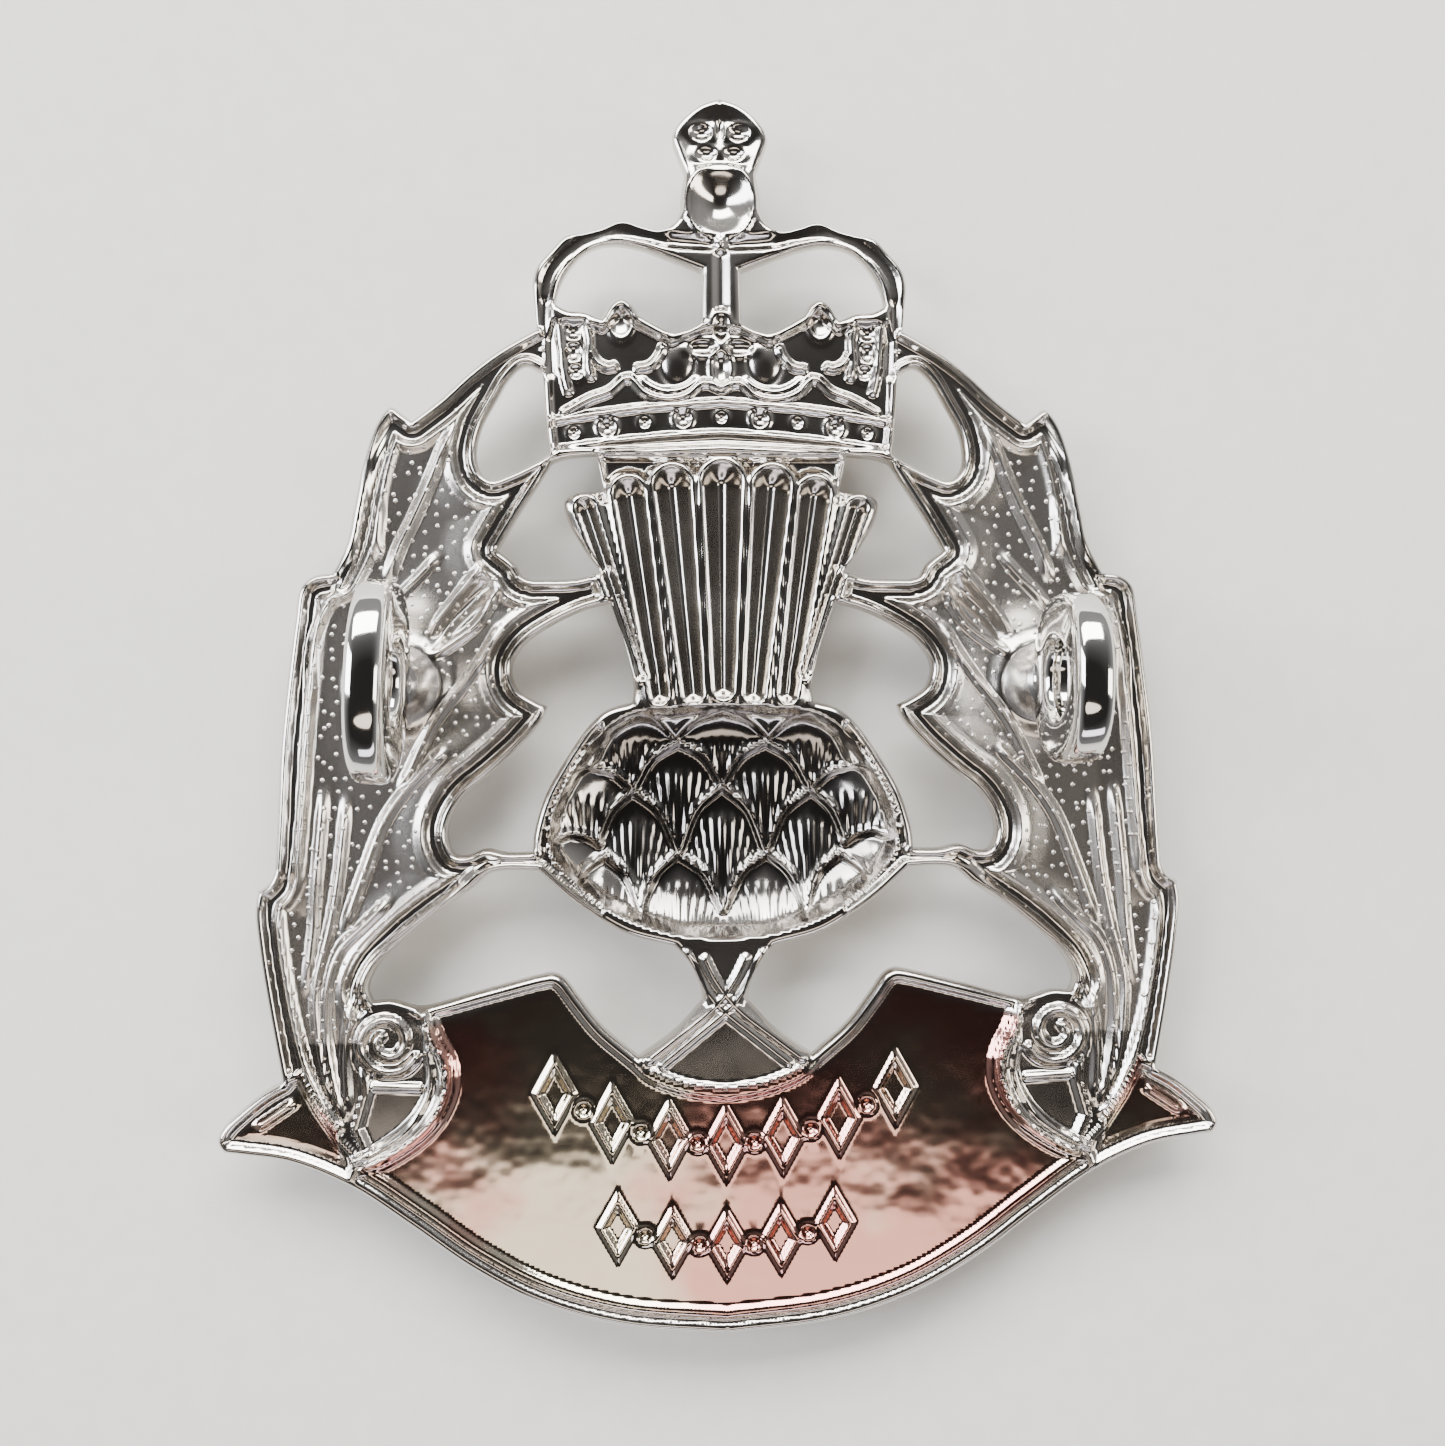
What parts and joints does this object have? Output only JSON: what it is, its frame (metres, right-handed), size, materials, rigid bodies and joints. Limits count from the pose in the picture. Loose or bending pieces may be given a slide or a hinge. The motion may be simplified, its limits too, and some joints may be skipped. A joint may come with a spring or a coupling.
{
  "type": "cap badge",
  "caption": "Pierced, die-struck thistle-and-crown cap badge lying face down, hollow at the back, with an upright eye lug brazed on either side.",
  "frame": {"origin": "under the middle of the badge's outline, on the surface that the struck face lies on", "axes": "+Z from the struck face to the hollow back and its lugs; +Y from the scroll to the crown; +X to the right when seen from the back"},
  "size_m": [0.0406, 0.05, 0.0104],
  "materials": {
    "plate": "bright plated, die struck",
    "lug": "bright plated, polished",
    "braze": "plated over a flowed braze fillet"
  },
  "bodies": {
    "root": {"struck_plate": "plate", "left_lug": "lug", "right_lug": "lug", "left_braze": "braze", "right_braze": "braze"}
  },
  "joints": []
}
